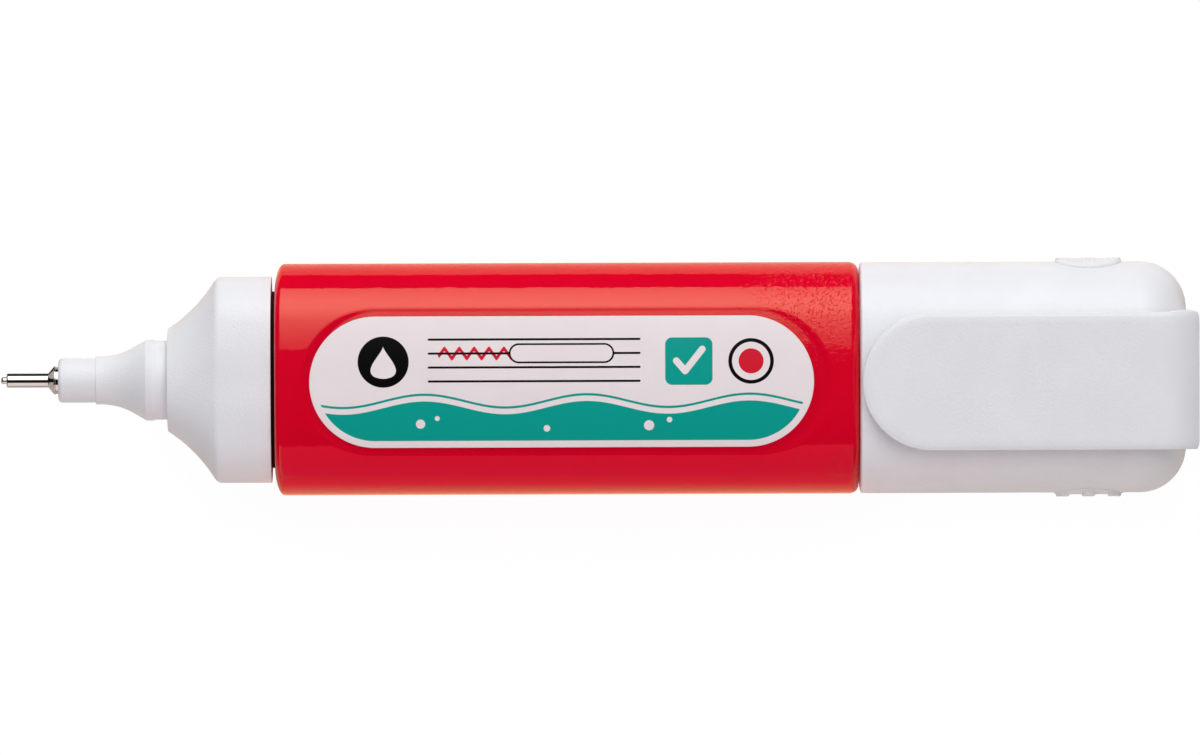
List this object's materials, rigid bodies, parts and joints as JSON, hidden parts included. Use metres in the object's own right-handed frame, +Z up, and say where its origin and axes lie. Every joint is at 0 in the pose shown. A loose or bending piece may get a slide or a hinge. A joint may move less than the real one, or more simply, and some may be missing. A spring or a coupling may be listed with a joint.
{
  "type": "correction pen",
  "caption": "Oval squeeze correction pen lying flat, with a hollow bottle, a metal valve tip with a sprung pin, a loose mixing ball, and a posted pull-off cap with a pocket clip.",
  "frame": {"origin": "under the middle of the pen, on the surface that it lies on", "axes": "+X along the pen from the tip to the cap, +Z up out of the labelled face, +Y across the pen"},
  "size_m": [0.1292, 0.0258, 0.0186],
  "materials": {
    "red_plastic": "glossy blow-moulded polyolefin",
    "white_plastic": "satin moulded polypropylene",
    "natural_plastic": "natural polyethylene",
    "label_film": "printed film",
    "polished_steel": "polished stainless steel",
    "spring_steel": "drawn stainless wire",
    "ball_steel": "polished steel"
  },
  "bodies": {
    "barrel": {"bottle": "red_plastic", "front_label": "label_film", "shoulder": "white_plastic", "neck_gasket": "natural_plastic", "nozzle": "white_plastic", "tip_holder": "white_plastic", "metal_tip": "polished_steel", "valve_spring": "spring_steel", "spring_retainer": "natural_plastic"},
    "valve": {"valve_pin": "polished_steel"},
    "ball": {"mixing_ball": "ball_steel"},
    "cap": {"cap_shell": "white_plastic", "inner_cap": "natural_plastic"},
    "clip": {"pocket_clip": "white_plastic"}
  },
  "joints": [
    {"name": "cap_pull", "type": "slide", "parent": "barrel", "child": "cap", "axis": [1, 0, 0], "range_m": [0, 0.02]},
    {"name": "clip_flex", "type": "hinge", "parent": "cap", "child": "clip", "pos_m": [0.06373, 0, 0.0152], "axis": [0, 1, 0], "range_deg": [0, 5], "stiffness_Nm_per_rad": 1},
    {"name": "pin_press", "type": "slide", "parent": "barrel", "child": "valve", "axis": [1, 0, 0], "range_m": [0, 0.0004], "stiffness_N_per_m": 400, "springref_m": -0.0008, "deforming": ["valve_spring"]},
    {"name": "ball_roll", "type": "slide", "parent": "barrel", "child": "ball", "axis": [-1, 0, 0], "range_m": [0, 0.0525]}
  ]
}
